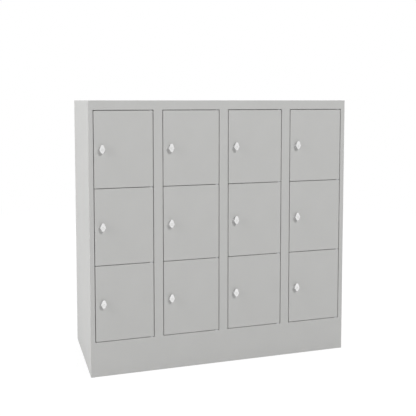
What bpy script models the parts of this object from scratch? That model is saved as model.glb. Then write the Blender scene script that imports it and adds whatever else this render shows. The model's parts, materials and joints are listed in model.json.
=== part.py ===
"""Compartment cabinet: a folded sheet-steel locker block, four columns of three lockable compartments.

Metres, +Z up. The origin is on the floor, under the middle of the cabinet and its knobs. The doors face -Y.
Every sheet is folded from one outline, so a panel is an open surface that Solidify gives its gauge.
"""

import math

import bmesh
import bpy
from mathutils import Matrix, Vector

# Overall sizes; the depth runs from the front face of the frame to the back
WIDTH = 1.190
HEIGHT = 1.180
DEPTH = 0.500
COLUMNS = 4
ROWS = 3

# Front frame
PLINTH_HEIGHT = 0.150
TOP_RAIL_HEIGHT = 0.040
STILE_WIDTH = 0.020
MULLION_WIDTH = 0.040
RETURN_DEPTH = 0.025
LIP_WIDTH = 0.008
SILL_LIP = 0.012

# Sheet steel and its folds
SHEET = 0.0008
BEND_RADIUS = 0.0016
SEAM = 0.0003
WELD_FLANGE = 0.015
FOOT_FLANGE = 0.020
PARTITION_FLANGE = 0.018
FLANGE_RELIEF = 0.004

# Shelves and floor
SHELF_FRONT_FLANGE = 0.020
SHELF_FLANGE = 0.010
FLOOR_FLANGE = 0.020

# Doors
DOOR_GAP = 0.0025
DOOR_SHEET = 0.0010
DOOR_DEPTH = 0.015
DOOR_LIP = 0.010
DOOR_EDGE_RADIUS = 0.0018

# Hinge line: a rod through the doors, held by a lug in each gap
PIVOT_INSET = 0.010
PIVOT_SETBACK = 0.006
ROD_RADIUS = 0.0025
ROD_OVERHANG = 0.005
ROD_CHAMFER = 0.0006
RUNNING_CLEARANCE = 0.0003
LUG_WIDTH = 0.0105
LUG_CORNER_RADIUS = 0.0015
LUG_SETBACK = 0.0004
LUG_WELD = 0.006
SWING_CLEARANCE = 0.0010

# Latch bush in each door
LATCH_INSET = 0.033
ROSETTE_RADIUS = 0.0105
ROSETTE_HEIGHT = 0.0012
BUSH_RADIUS = 0.0080
NUT_RADIUS = 0.0125
NUT_THICKNESS = 0.0035
NUT_SIDES = 6

# Turn knob, from the head down to the riveted end of its spindle; its heights count from the latch axis
KNOB_REACH = 0.0195
KNOB_WIDTH = 0.025
KNOB_TOP = 0.0220
KNOB_BOTTOM = 0.0155
KNOB_WIDEST = 0.0010
KNOB_SIDE_RADIUS = 0.0030
KNOB_TIP_RADIUS = 0.0068
KNOB_THICKNESS = 0.0135
KNOB_BACK_SHARE = 0.78
KNOB_EDGE_RADIUS = 0.0025
NECK_RADIUS = 0.0080
SPINDLE_RADIUS = 0.0047
DRIVE_WIDTH = 0.0064
RIVET_RADIUS = 0.0055
RIVET_LENGTH = 0.0025

# Cam on the spindle, behind the frame's lip when it is turned
CAM_CLEARANCE = 0.0015
CAM_THICKNESS = 0.0025
CAM_WIDTH = 0.016
CAM_TIP_RADIUS = 0.0060
CAM_OVERLAP = 0.012

# Facets of round pieces, joints between points, and how far a cutter runs past what it cuts
ROUND_SIDES = 12
ARC_STEPS = 4
BEND_STEPS = 2
EDGE_STEPS = 1
MERGE_DISTANCE = 0.00001
OVERRUN = 0.002

# Angle from which an edge is shaded sharp, and from which the knob's rim is rounded
SHARP_ANGLE = math.radians(35)
RIM_ANGLE = math.radians(60)

# Finishes: name, colour, roughness and metallic
PAINT = ("light_grey_powder_coat", (0.56, 0.56, 0.55), 0.45, 0)
CHROME = ("satin_chrome", (0.80, 0.80, 0.80), 0.25, 1)
STEEL = ("zinc_plated_steel", (0.62, 0.63, 0.64), 0.4, 1)

LEFT = -WIDTH / 2
RIGHT = WIDTH / 2
BACK = (DEPTH + KNOB_REACH) / 2
FRONT = BACK - DEPTH
RETURN_BACK = FRONT + RETURN_DEPTH

OPENING_BOTTOM = PLINTH_HEIGHT
OPENING_TOP = HEIGHT - TOP_RAIL_HEIGHT
COLUMN_PITCH = (WIDTH - 2 * STILE_WIDTH + MULLION_WIDTH) / COLUMNS
OPENING_WIDTH = COLUMN_PITCH - MULLION_WIDTH
DOOR_WIDTH = OPENING_WIDTH - 2 * DOOR_GAP
DOOR_HEIGHT = (OPENING_TOP - OPENING_BOTTOM - (ROWS + 1) * DOOR_GAP) / ROWS
ROW_PITCH = DOOR_HEIGHT + DOOR_GAP

# The back sheet lies behind the flanges of the sides, and those behind the ones of the walls and shelves
SIDE_BACK = BACK - SHEET - SEAM
WALL_BACK = SIDE_BACK - SHEET - SEAM
SHELF_BACK = WALL_BACK - SHEET - SEAM
SHELF_SHOULDER = RETURN_BACK + SEAM + SHEET + SEAM
BODY_TOP = HEIGHT - SHEET - SEAM
SIDE_WALL = SHEET + SEAM
INNER_WALL = SHEET / 2 + SEAM

PIVOT_Y = FRONT + PIVOT_SETBACK
PIVOT_HOLE_RADIUS = ROD_RADIUS + RUNNING_CLEARANCE
SWING_RADIUS = math.hypot(PIVOT_INSET, DOOR_DEPTH - PIVOT_SETBACK)
SHELF_FRONT = PIVOT_Y + SWING_RADIUS + SWING_CLEARANCE
LUG_THICKNESS = DOOR_GAP - 2 * RUNNING_CLEARANCE

# Depths behind the face of a door
CAM_FRONT = RETURN_DEPTH + CAM_CLEARANCE
CAM_BACK = CAM_FRONT + CAM_THICKNESS
BUSH_LENGTH = CAM_FRONT - RUNNING_CLEARANCE - SEAM
CAM_LENGTH = LATCH_INSET + DOOR_GAP + CAM_OVERLAP


def opening_left(column):
    return LEFT + STILE_WIDTH + column * COLUMN_PITCH


def mullion_centre(column):
    """The middle of the upright to the right of a column."""
    return opening_left(column) + OPENING_WIDTH + MULLION_WIDTH / 2


def hinge_x(column):
    return opening_left(column) + OPENING_WIDTH - DOOR_GAP - PIVOT_INSET


def door_bottom(row):
    """Row 0 is the top row."""
    return OPENING_TOP - (row + 1) * ROW_PITCH


def clear_scene():
    for obj in list(bpy.data.objects):
        bpy.data.objects.remove(obj, do_unlink=True)


def new_collection(name):
    bpy.context.scene.collection.children.link(bpy.data.collections.new(name))


def new_material(name, colour, roughness, metallic):
    made = bpy.data.materials.new(name)
    made.use_nodes = True
    shader = made.node_tree.nodes["Principled BSDF"]
    shader.inputs["Base Color"].default_value = (*colour, 1)
    shader.inputs["Roughness"].default_value = roughness
    shader.inputs["Metallic"].default_value = metallic
    return made


def helper(name, mesh):
    """A cutter, an addition or a shape in the making: out of renders and drawn as a wire."""
    obj = bpy.data.objects.new(name, mesh)
    bpy.data.collections["helpers"].objects.link(obj)
    obj.hide_render = True
    obj.display_type = "WIRE"
    return obj


def mesh_of(name, bm):
    """A mesh from a bmesh, which is freed."""
    mesh = bpy.data.meshes.new(name)
    bm.to_mesh(mesh)
    bm.free()
    return mesh


def baked(obj):
    """The mesh of an object with its modifiers, in the object's own frame; the object is removed."""
    bpy.context.view_layer.update()
    graph = bpy.context.evaluated_depsgraph_get()
    mesh = bpy.data.meshes.new_from_object(obj.evaluated_get(graph))
    mesh.name = obj.name
    bpy.data.objects.remove(obj, do_unlink=True)
    return mesh


def combine(obj, operation, meshes):
    for mesh in meshes:
        modifier = obj.modifiers.new(operation.lower(), "BOOLEAN")
        modifier.operation = operation
        modifier.object = helper(mesh.name, mesh)


def place(name, mesh, location, material, parent=None):
    """A piece that shows this mesh, with its origin at a place in the world."""
    obj = bpy.data.objects.new(name, mesh)
    bpy.data.collections["compartment_cabinet"].objects.link(obj)
    if not mesh.materials:
        mesh.materials.append(material)
        mesh.shade_smooth()
        mesh.set_sharp_from_angle(angle=SHARP_ANGLE)
    obj.location = location
    if parent is not None:
        obj.parent = parent
        obj.location = Vector(location) - parent.matrix_world.translation
    bpy.context.view_layer.update()
    return obj


def box(name, low, high):
    bm = bmesh.new()
    bmesh.ops.create_cube(bm, size=1)
    low, high = Vector(low), Vector(high)
    bmesh.ops.scale(bm, vec=high - low, verts=bm.verts)
    bmesh.ops.translate(bm, vec=(low + high) / 2, verts=bm.verts)
    return mesh_of(name, bm)


def cylinder(name, radius, x, y, start, end, sides=ROUND_SIDES):
    """An upright cylinder between two heights."""
    bm = bmesh.new()
    bmesh.ops.create_cone(
        bm, cap_ends=True, segments=sides, radius1=radius, radius2=radius, depth=end - start
    )
    bmesh.ops.translate(bm, vec=(x, y, (start + end) / 2), verts=bm.verts)
    return mesh_of(name, bm)


def turned(name, profile):
    """A solid turned round Z. The profile lists radii and heights down its outer side, from axis to axis."""
    mesh = bpy.data.meshes.new(name)
    edges = [(step, step + 1) for step in range(len(profile) - 1)]
    mesh.from_pydata([(radius, 0, height) for radius, height in profile], edges, [])
    obj = helper(name, mesh)
    screw = obj.modifiers.new("turn", "SCREW")
    screw.steps = ROUND_SIDES
    screw.render_steps = ROUND_SIDES
    screw.use_merge_vertices = True
    screw.merge_threshold = MERGE_DISTANCE
    return baked(obj)


def round_hull(circles):
    """The outline round circles, each an x, a y and a radius, listed counterclockwise."""
    turns = []
    for (x1, y1, radius1), (x2, y2, radius2) in zip(circles, circles[1:] + circles[:1]):
        travel = math.atan2(y2 - y1, x2 - x1)
        turns.append(travel - math.acos((radius1 - radius2) / math.hypot(x2 - x1, y2 - y1)))
    points = []
    for index, (x, y, radius) in enumerate(circles):
        swept = (turns[index] - turns[index - 1]) % (2 * math.pi)
        for step in range(ARC_STEPS + 1):
            turn = turns[index - 1] + swept * step / ARC_STEPS
            points.append((x + radius * math.cos(turn), y + radius * math.sin(turn)))
    return points


def plate(name, thickness, *outlines):
    """A flat plate in the XY plane, centred on it; outlines inside the first are holes."""
    curve = bpy.data.curves.new(name, "CURVE")
    curve.dimensions = "2D"
    curve.fill_mode = "BOTH"
    curve.extrude = thickness / 2
    for outline in outlines:
        spline = curve.splines.new("POLY")
        spline.points.add(len(outline) - 1)
        for point, (x, y) in zip(spline.points, outline):
            point.co = (x, y, 0, 1)
        spline.use_cyclic_u = True
    mesh = baked(helper(name, curve))
    bm = bmesh.new()
    bm.from_mesh(mesh)
    bmesh.ops.remove_doubles(bm, verts=bm.verts, dist=MERGE_DISTANCE)
    bmesh.ops.recalc_face_normals(bm, faces=bm.faces)
    return mesh_of(name, bm)


def faced_front(mesh):
    """Turns a mesh so that what pointed up points to the front, and what lay behind stands above."""
    mesh.transform(Matrix.Rotation(math.pi / 2, 4, "X"))
    return mesh


def rounded(corners):
    """An open outline whose inner corners, all right angles, are made into bends."""
    points = [Vector(corners[0])]
    for before, corner, after in zip(corners, corners[1:], corners[2:]):
        corner = Vector(corner)
        back = (Vector(before) - corner).normalized()
        ahead = (Vector(after) - corner).normalized()
        centre = corner + (back + ahead) * BEND_RADIUS
        for step in range(BEND_STEPS + 1):
            turn = math.pi / 2 * step / BEND_STEPS
            points.append(centre - (ahead * math.cos(turn) + back * math.sin(turn)) * BEND_RADIUS)
    points.append(Vector(corners[-1]))
    return points


def turn_outside(bm, outside):
    """Turns the faces of a surface so that its widest one looks to the outside."""
    bmesh.ops.recalc_face_normals(bm, faces=bm.faces)
    widest = max(bm.faces, key=lambda face: face.calc_area())
    if widest.normal.dot(Vector(outside)) < 0:
        bmesh.ops.reverse_faces(bm, faces=bm.faces)


def folded(name, corners, axis, start, end, outside):
    """A folded sheet as a helper: its outline, in the plane across X or Z, carried from start to end."""
    bm = bmesh.new()
    verts = []
    for first, second in rounded(corners):
        spot = (start, first, second) if axis == "X" else (first, second, start)
        verts.append(bm.verts.new(spot))
    edges = [bm.edges.new(pair) for pair in zip(verts, verts[1:])]
    made = bmesh.ops.extrude_edge_only(bm, edges=edges)["geom"]
    travel = (end - start, 0, 0) if axis == "X" else (0, 0, end - start)
    bmesh.ops.translate(bm, vec=travel, verts=[item for item in made if isinstance(item, bmesh.types.BMVert)])
    turn_outside(bm, outside)
    obj = helper(name, mesh_of(name, bm))
    add_gauge(obj, SHEET)
    return obj


def add_gauge(obj, gauge):
    """Gives a surface its thickness, on the inside."""
    solidify = obj.modifiers.new("gauge", "SOLIDIFY")
    solidify.thickness = gauge
    solidify.offset = -1
    solidify.use_even_offset = True


def side_panel():
    """The left side, folded round into the stile, with flanges for the back, the roof and the floor."""
    corners = [
        (LEFT + WELD_FLANGE, SIDE_BACK),
        (LEFT, SIDE_BACK),
        (LEFT, FRONT),
        (LEFT + STILE_WIDTH, FRONT),
        (LEFT + STILE_WIDTH, RETURN_BACK),
        (LEFT + STILE_WIDTH - LIP_WIDTH, RETURN_BACK),
    ]
    obj = folded("side_panel_left", corners, "Z", 0, BODY_TOP, (-1, 0, 0))
    front = RETURN_BACK + FLANGE_RELIEF
    back = SIDE_BACK - WELD_FLANGE - FLANGE_RELIEF
    root = LEFT + SHEET / 2
    foot = box("foot", (root, front, 0), (LEFT + FOOT_FLANGE, back, SHEET))
    head = box("head", (root, front, BODY_TOP - SHEET), (LEFT + WELD_FLANGE, back, BODY_TOP))
    combine(obj, "UNION", [foot, head])
    return baked(obj)


def mirrored(mesh, name):
    """The same mesh on the other side of the middle plane."""
    bm = bmesh.new()
    bm.from_mesh(mesh)
    bmesh.ops.scale(bm, vec=(-1, 1, 1), verts=bm.verts)
    bmesh.ops.reverse_faces(bm, faces=bm.faces)
    return mesh_of(name, bm)


def hinge_hole(column, start, end):
    return cylinder("hinge_hole", PIVOT_HOLE_RADIUS, hinge_x(column), PIVOT_Y, start, end)


def lug(column, back, low, high):
    """A pad round the hinge rod, with its front edge just behind the doors' faces, between two heights."""
    x = hinge_x(column)
    side = LUG_WIDTH / 2 - LUG_CORNER_RADIUS
    front = FRONT + LUG_SETBACK + LUG_CORNER_RADIUS
    corners = [(x - side, front), (x + side, front), (x + side, back), (x - side, back)]
    mesh = plate("lug", high - low, round_hull([(*corner, LUG_CORNER_RADIUS) for corner in corners]))
    mesh.transform(Matrix.Translation((0, 0, (low + high) / 2)))
    return mesh


def end_cuts(reach, low_y, high_y, low_z, high_z):
    """Cutters that take both ends off a strip, past a distance from the middle plane."""
    far = RIGHT + OVERRUN
    return [
        box("end_cut", (reach, low_y, low_z), (far, high_y, high_z)),
        box("end_cut", (-far, low_y, low_z), (-reach, high_y, high_z)),
    ]


def top_panel():
    """The roof, folded down in front into the rail over the doors and at the back into a flange."""
    corners = [
        (SIDE_BACK, HEIGHT - WELD_FLANGE),
        (SIDE_BACK, HEIGHT),
        (FRONT, HEIGHT),
        (FRONT, OPENING_TOP),
        (RETURN_BACK, OPENING_TOP),
        (RETURN_BACK, OPENING_TOP + LIP_WIDTH),
    ]
    obj = folded("top_panel", corners, "X", LEFT, RIGHT, (0, 0, 1))
    rail_end = RIGHT - STILE_WIDTH - SEAM
    flange_end = RIGHT - WELD_FLANGE - FLANGE_RELIEF
    low = OPENING_TOP - OVERRUN
    combine(obj, "DIFFERENCE", end_cuts(rail_end, FRONT - OVERRUN, RETURN_BACK + OVERRUN, low, BODY_TOP))
    combine(obj, "DIFFERENCE", end_cuts(flange_end, SIDE_BACK - WELD_FLANGE, BACK, low, BODY_TOP))
    holes = [hinge_hole(column, low, OPENING_TOP + OVERRUN) for column in range(COLUMNS)]
    combine(obj, "DIFFERENCE", holes)
    return baked(obj)


def plinth_front():
    """The kick plate between the stiles. Its sill carries a lug for each hinge rod."""
    corners = [
        (RETURN_BACK, 0),
        (FRONT, 0),
        (FRONT, OPENING_BOTTOM),
        (RETURN_BACK, OPENING_BOTTOM),
        (RETURN_BACK, OPENING_BOTTOM - SILL_LIP),
    ]
    end = RIGHT - STILE_WIDTH - SEAM
    obj = folded("plinth_front", corners, "X", -end, end, (0, -1, 0))
    seat = OPENING_BOTTOM - SHEET / 2
    top = OPENING_BOTTOM + DOOR_GAP - RUNNING_CLEARANCE
    for column in range(COLUMNS):
        combine(obj, "UNION", [lug(column, PIVOT_Y + LUG_WIDTH / 2, seat, top)])
        combine(obj, "DIFFERENCE", [hinge_hole(column, OPENING_BOTTOM - OVERRUN, top + OVERRUN)])
    return baked(obj)


def back_panel():
    """The back sheet, folded forward at the floor between the flanges of the sides."""
    corners = [(BACK - WELD_FLANGE, 0), (BACK, 0), (BACK, HEIGHT)]
    obj = folded("back_panel", corners, "X", LEFT, RIGHT, (0, 1, 0))
    reach = RIGHT - WELD_FLANGE - FLANGE_RELIEF
    front = BACK - WELD_FLANGE - OVERRUN
    cuts = end_cuts(reach, front, BACK + OVERRUN, -OVERRUN, BEND_RADIUS + SEAM)
    combine(obj, "DIFFERENCE", cuts)
    return baked(obj)


def tray(name, left, right, front, top, front_flange, flange, back):
    """A sheet with all four edges folded down."""
    corners = [(back, top - flange), (back, top), (front, top), (front, top - front_flange)]
    obj = folded(name, corners, "X", left, right, (0, 0, 1))
    start = SHELF_SHOULDER + FLANGE_RELIEF
    end = back - FLANGE_RELIEF
    for low_x, high_x in ((left, left + SHEET), (right - SHEET, right)):
        combine(obj, "UNION", [box("flange", (low_x, start, top - flange), (high_x, end, top - SHEET / 2))])
    return obj


def floor_panel():
    """The floor of the bottom row, from side to side behind the frame."""
    left = LEFT + SIDE_WALL
    right = RIGHT - SIDE_WALL
    front = RETURN_BACK + SEAM
    flange = FLOOR_FLANGE
    return baked(tray("floor_panel", left, right, front, OPENING_BOTTOM, flange, flange, WALL_BACK))


def mullion():
    """An upright of the front frame: a lipped channel, open to the back, round its own centre line."""
    half = MULLION_WIDTH / 2
    corners = [
        (-half + LIP_WIDTH, RETURN_DEPTH),
        (-half, RETURN_DEPTH),
        (-half, 0),
        (half, 0),
        (half, RETURN_DEPTH),
        (half - LIP_WIDTH, RETURN_DEPTH),
    ]
    length = OPENING_TOP - OPENING_BOTTOM - 2 * SEAM
    return baked(folded("mullion", corners, "Z", 0, length, (0, -1, 0)))


def partition():
    """A wall between columns, with a flange behind the upright and one at the back."""
    front = SEAM
    back = WALL_BACK - RETURN_BACK
    outer = SHEET / 2
    edge = outer - PARTITION_FLANGE
    corners = [(edge, front), (outer, front), (outer, back), (edge, back)]
    length = BODY_TOP - OPENING_BOTTOM - SEAM
    return baked(folded("partition", corners, "Z", 0, length, (1, 0, 0)))


def shelf(column):
    """A compartment's floor, level with the gap between two doors, with the hinge lug in that gap."""
    first, last = column == 0, column == COLUMNS - 1
    left = LEFT + SIDE_WALL if first else mullion_centre(column - 1) + INNER_WALL
    right = RIGHT - SIDE_WALL if last else mullion_centre(column) - INNER_WALL
    nose_left = opening_left(column) + SEAM
    nose_right = opening_left(column) + OPENING_WIDTH - SEAM
    top = SHEET / 2
    obj = tray("shelf", left, right, SHELF_FRONT, top, SHELF_FRONT_FLANGE, SHELF_FLANGE, SHELF_BACK)
    low = (left - OVERRUN, SHELF_FRONT - OVERRUN, top - SHELF_FRONT_FLANGE - OVERRUN)
    high = (right + OVERRUN, SHELF_SHOULDER, top + OVERRUN)
    left_cut = box("corner_cut", low, (nose_left, *high[1:]))
    right_cut = box("corner_cut", (nose_right, *low[1:]), high)
    combine(obj, "DIFFERENCE", [left_cut, right_cut])
    combine(obj, "UNION", [lug(column, SHELF_FRONT + LUG_WELD, -LUG_THICKNESS / 2, LUG_THICKNESS / 2)])
    combine(obj, "DIFFERENCE", [hinge_hole(column, -OVERRUN, OVERRUN)])
    return baked(obj)


def hinge_rod():
    """A rod round its own axis, from under the sill to above the rail, chamfered at both ends."""
    bottom = -ROD_OVERHANG
    top = OPENING_TOP - OPENING_BOTTOM + ROD_OVERHANG
    tip_radius = ROD_RADIUS - ROD_CHAMFER
    profile = [
        (0, top),
        (tip_radius, top),
        (ROD_RADIUS, top - ROD_CHAMFER),
        (ROD_RADIUS, bottom + ROD_CHAMFER),
        (tip_radius, bottom),
        (0, bottom),
    ]
    return turned("hinge_rod", profile)


def door_pan():
    """The pan of a door with mitred lips, round its hinge axis: it stands on Z = 0 and shuts to the left."""
    low = Vector((PIVOT_INSET - DOOR_WIDTH, -PIVOT_SETBACK, 0))
    high = Vector((PIVOT_INSET, DOOR_DEPTH - PIVOT_SETBACK, DOOR_HEIGHT))
    bm = bmesh.new()
    bmesh.ops.create_cube(bm, size=1)
    bmesh.ops.scale(bm, vec=high - low, verts=bm.verts)
    bmesh.ops.translate(bm, vec=(low + high) / 2, verts=bm.verts)
    back = max(bm.faces, key=lambda face: face.calc_center_median().y)
    bmesh.ops.inset_region(bm, faces=[back], thickness=DOOR_LIP)
    bmesh.ops.delete(bm, geom=[back], context="FACES")
    obj = helper("door", mesh_of("door", bm))
    bevel = obj.modifiers.new("bends", "BEVEL")
    bevel.width = DOOR_EDGE_RADIUS
    bevel.segments = EDGE_STEPS
    bevel.limit_method = "ANGLE"
    add_gauge(obj, DOOR_SHEET)
    return obj


def door():
    """A door: its pan with holes for the hinge rod, and the latch bush with its rosette and nut."""
    obj = door_pan()
    hinge_bore = cylinder("hinge_bore", PIVOT_HOLE_RADIUS, 0, 0, -OVERRUN, DOOR_HEIGHT + OVERRUN)
    combine(obj, "DIFFERENCE", [hinge_bore])
    profile = [
        (0, ROSETTE_HEIGHT),
        (ROSETTE_RADIUS - ROSETTE_HEIGHT / 2, ROSETTE_HEIGHT),
        (ROSETTE_RADIUS, ROSETTE_HEIGHT / 2),
        (ROSETTE_RADIUS, -DOOR_SHEET / 2),
        (BUSH_RADIUS, -DOOR_SHEET / 2),
        (BUSH_RADIUS, -BUSH_LENGTH),
        (0, -BUSH_LENGTH),
    ]
    nut_top = -DOOR_SHEET / 2
    nut = cylinder("nut", NUT_RADIUS, 0, 0, nut_top - NUT_THICKNESS, nut_top, NUT_SIDES)
    bore_radius = SPINDLE_RADIUS + RUNNING_CLEARANCE
    bore = cylinder("bore", bore_radius, 0, 0, -BUSH_LENGTH - OVERRUN, ROSETTE_HEIGHT + OVERRUN)
    pieces = [faced_front(mesh) for mesh in (turned("bush", profile), nut, bore)]
    for mesh in pieces:
        mesh.transform(Matrix.Translation((latch_x(), -PIVOT_SETBACK, DOOR_HEIGHT / 2)))
    combine(obj, "UNION", pieces[:2])
    combine(obj, "DIFFERENCE", pieces[2:])
    return baked(obj)


def latch_x():
    """The latch axis, measured from the hinge axis of its door."""
    return PIVOT_INSET - DOOR_WIDTH + LATCH_INSET


def knob_head():
    """The rounded diamond of a knob, narrower at its back; its top tip is longer than its bottom one."""
    side_x = KNOB_WIDTH / 2 - KNOB_SIDE_RADIUS
    circles = [
        (0, KNOB_TIP_RADIUS - KNOB_BOTTOM, KNOB_TIP_RADIUS),
        (side_x, KNOB_WIDEST, KNOB_SIDE_RADIUS),
        (0, KNOB_TOP - KNOB_TIP_RADIUS, KNOB_TIP_RADIUS),
        (-side_x, KNOB_WIDEST, KNOB_SIDE_RADIUS),
    ]
    bm = bmesh.new()
    bm.from_mesh(plate("head", KNOB_THICKNESS, round_hull(circles)))
    back = [vert for vert in bm.verts if vert.co.z < 0]
    bmesh.ops.scale(bm, vec=(KNOB_BACK_SHARE, KNOB_BACK_SHARE, 1), verts=back)
    bmesh.ops.translate(bm, vec=(0, 0, KNOB_REACH - KNOB_THICKNESS / 2), verts=bm.verts)
    return mesh_of("head", bm)


def latch_knob():
    """A knob with its spindle and riveted end, round the latch axis; the origin is on the door's face."""
    obj = helper("latch_knob", knob_head())
    bevel = obj.modifiers.new("edges", "BEVEL")
    bevel.width = KNOB_EDGE_RADIUS
    bevel.segments = EDGE_STEPS
    bevel.limit_method = "ANGLE"
    bevel.angle_limit = RIM_ANGLE
    shoulder = -CAM_FRONT + SEAM
    rivet_top = -CAM_BACK - SEAM
    seat = ROSETTE_HEIGHT + RUNNING_CLEARANCE
    shank = [
        (0, KNOB_REACH - KNOB_THICKNESS / 2),
        (NECK_RADIUS, KNOB_REACH - KNOB_THICKNESS / 2),
        (NECK_RADIUS, seat),
        (SPINDLE_RADIUS, seat),
        (SPINDLE_RADIUS, shoulder),
        (0, shoulder),
    ]
    rivet = cylinder("rivet", RIVET_RADIUS, 0, 0, rivet_top - RIVET_LENGTH, rivet_top)
    half = DRIVE_WIDTH / 2
    drive = box("drive", (-half, -half, rivet_top - RIVET_LENGTH / 2), (half, half, shoulder + half))
    combine(obj, "UNION", [turned("shank", shank), drive, rivet])
    return faced_front(baked(obj))


def latch_cam():
    """A flat cam that hangs from the latch axis; the origin is on the door's face."""
    half = DRIVE_WIDTH / 2 + SEAM
    tip_x = CAM_WIDTH / 2 - CAM_TIP_RADIUS
    tip_y = -CAM_LENGTH + CAM_TIP_RADIUS
    circles = [(-tip_x, tip_y, CAM_TIP_RADIUS), (tip_x, tip_y, CAM_TIP_RADIUS), (0, 0, CAM_WIDTH / 2)]
    hole = [(-half, -half), (-half, half), (half, half), (half, -half)]
    mesh = plate("latch_cam", CAM_THICKNESS, round_hull(circles), hole)
    mesh.transform(Matrix.Translation((0, 0, -(CAM_FRONT + CAM_BACK) / 2)))
    return faced_front(mesh)


def build_carcass(paint, steel):
    side = side_panel()
    place("left_side_panel", side, (0, 0, 0), paint)
    place("right_side_panel", mirrored(side, "side_panel_right"), (0, 0, 0), paint)
    place("top_panel", top_panel(), (0, 0, 0), paint)
    place("back_panel", back_panel(), (0, 0, 0), paint)
    place("floor_panel", floor_panel(), (0, 0, 0), paint)
    place("plinth_front", plinth_front(), (0, 0, 0), paint)
    upright = mullion()
    wall = partition()
    rod = hinge_rod()
    for column in range(COLUMNS):
        place(f"hinge_rod_{column + 1}", rod, (hinge_x(column), PIVOT_Y, OPENING_BOTTOM), steel)
    for column in range(COLUMNS - 1):
        middle = mullion_centre(column)
        place(f"mullion_{column + 1}", upright, (middle, FRONT, OPENING_BOTTOM + SEAM), paint)
        place(f"partition_{column + 1}", wall, (middle, RETURN_BACK, OPENING_BOTTOM + SEAM), paint)
    for column in range(COLUMNS):
        mesh = shelf(column)
        for row in range(ROWS - 1):
            level = door_bottom(row) - DOOR_GAP / 2
            place(f"shelf_c{column + 1}_r{row + 1}", mesh, (0, 0, level), paint)


def build_doors(paint, chrome, steel):
    door_mesh, knob_mesh, cam_mesh = door(), latch_knob(), latch_cam()
    for column in range(COLUMNS):
        for row in range(ROWS):
            slot = f"c{column + 1}_r{row + 1}"
            hinge = (hinge_x(column), PIVOT_Y, door_bottom(row))
            latch = (hinge_x(column) + latch_x(), FRONT, door_bottom(row) + DOOR_HEIGHT / 2)
            leaf = place(f"door_{slot}", door_mesh, hinge, paint)
            knob = place(f"latch_knob_{slot}", knob_mesh, latch, chrome, leaf)
            place(f"latch_cam_{slot}", cam_mesh, latch, steel, knob)


def main():
    clear_scene()
    new_collection("compartment_cabinet")
    new_collection("helpers")
    paint, chrome, steel = new_material(*PAINT), new_material(*CHROME), new_material(*STEEL)
    build_carcass(paint, steel)
    build_doors(paint, chrome, steel)
    for obj in list(bpy.data.collections["helpers"].objects):
        bpy.data.objects.remove(obj, do_unlink=True)


main()
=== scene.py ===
"""Compartment cabinet, the finished look.

Rebuilds the sheet pieces, doors and latches of the packed cabinet in fine detail, gives them their finishes,
and sets up a plain studio with the photograph's camera. Metres, +Z up. The doors face -Y.
"""

import json
import math

import bmesh
import bpy
from mathutils import Matrix, Vector

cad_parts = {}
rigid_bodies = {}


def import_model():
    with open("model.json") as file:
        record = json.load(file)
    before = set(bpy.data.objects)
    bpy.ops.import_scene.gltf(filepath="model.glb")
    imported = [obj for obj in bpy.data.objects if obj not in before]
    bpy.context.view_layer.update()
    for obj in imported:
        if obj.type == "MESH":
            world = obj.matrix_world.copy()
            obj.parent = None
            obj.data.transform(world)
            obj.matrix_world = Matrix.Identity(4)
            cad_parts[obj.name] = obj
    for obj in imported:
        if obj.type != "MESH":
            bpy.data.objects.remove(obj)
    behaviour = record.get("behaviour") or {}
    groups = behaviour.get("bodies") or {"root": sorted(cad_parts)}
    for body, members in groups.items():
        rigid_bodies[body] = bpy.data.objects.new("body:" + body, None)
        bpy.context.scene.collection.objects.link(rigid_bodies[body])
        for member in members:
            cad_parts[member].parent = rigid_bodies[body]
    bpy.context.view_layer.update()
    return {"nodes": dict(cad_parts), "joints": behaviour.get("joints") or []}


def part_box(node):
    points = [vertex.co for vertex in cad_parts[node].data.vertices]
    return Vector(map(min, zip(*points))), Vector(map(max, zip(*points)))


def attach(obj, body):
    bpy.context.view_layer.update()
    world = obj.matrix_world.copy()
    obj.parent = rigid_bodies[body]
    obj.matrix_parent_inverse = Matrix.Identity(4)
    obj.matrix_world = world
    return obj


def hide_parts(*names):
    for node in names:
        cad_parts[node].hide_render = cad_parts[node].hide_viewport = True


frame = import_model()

bl_info = {
    "name": "Compartment Cabinet",
    "version": (1, 0, 0),
    "blender": (4, 5, 0),
    "location": "View3D > Sidebar > Cabinet",
    "description": "Builds the folded sheets, doors, latches, finishes and studio of a compartment cabinet",
    "category": "Object",
}

# The packed frame gives how many doors there are and where each of them turns
COLUMNS = sum(name.startswith("hinge_rod_") for name in frame["nodes"])
ROWS = sum(name.startswith("door_") for name in frame["nodes"]) // COLUMNS
CELLS = [(column, row) for column in range(COLUMNS) for row in range(ROWS)]
PLACES = {joint["name"]: Vector(joint["pos_m"]) for joint in frame["joints"]}


def cell_name(column, row):
    """What the names of a compartment's nodes, bodies and joints end with."""
    return f"c{column + 1}_r{row + 1}"


# Boxes of the pieces whose faces line up with the others
SIDE_LOW, SIDE_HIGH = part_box("left_side_panel")
ROOF_LOW, ROOF_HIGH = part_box("top_panel")
BACK_LOW, BACK_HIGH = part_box("back_panel")
FLOOR_LOW, FLOOR_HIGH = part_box("floor_panel")
UPRIGHT_LOW, UPRIGHT_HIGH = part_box("mullion_1")
WALL_LOW, WALL_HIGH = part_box("partition_1")
SHELF_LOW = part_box("shelf_c1_r1")[0]
ROD_LOW, ROD_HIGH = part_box("hinge_rod_1")
DOOR_LOW, DOOR_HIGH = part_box("door_c1_r1")
NEXT_DOOR_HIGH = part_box("door_c1_r2")[1]
BOTTOM_DOOR_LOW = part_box(f"door_{cell_name(0, ROWS - 1)}")[0]
KNOB_LOW, KNOB_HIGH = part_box("latch_knob_c1_r1")
CAM_LOW, CAM_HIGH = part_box("latch_cam_c1_r1")

HINGE = PLACES["door_hinge_c1_r1"]
LATCH = PLACES["latch_turn_c1_r1"]

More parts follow.
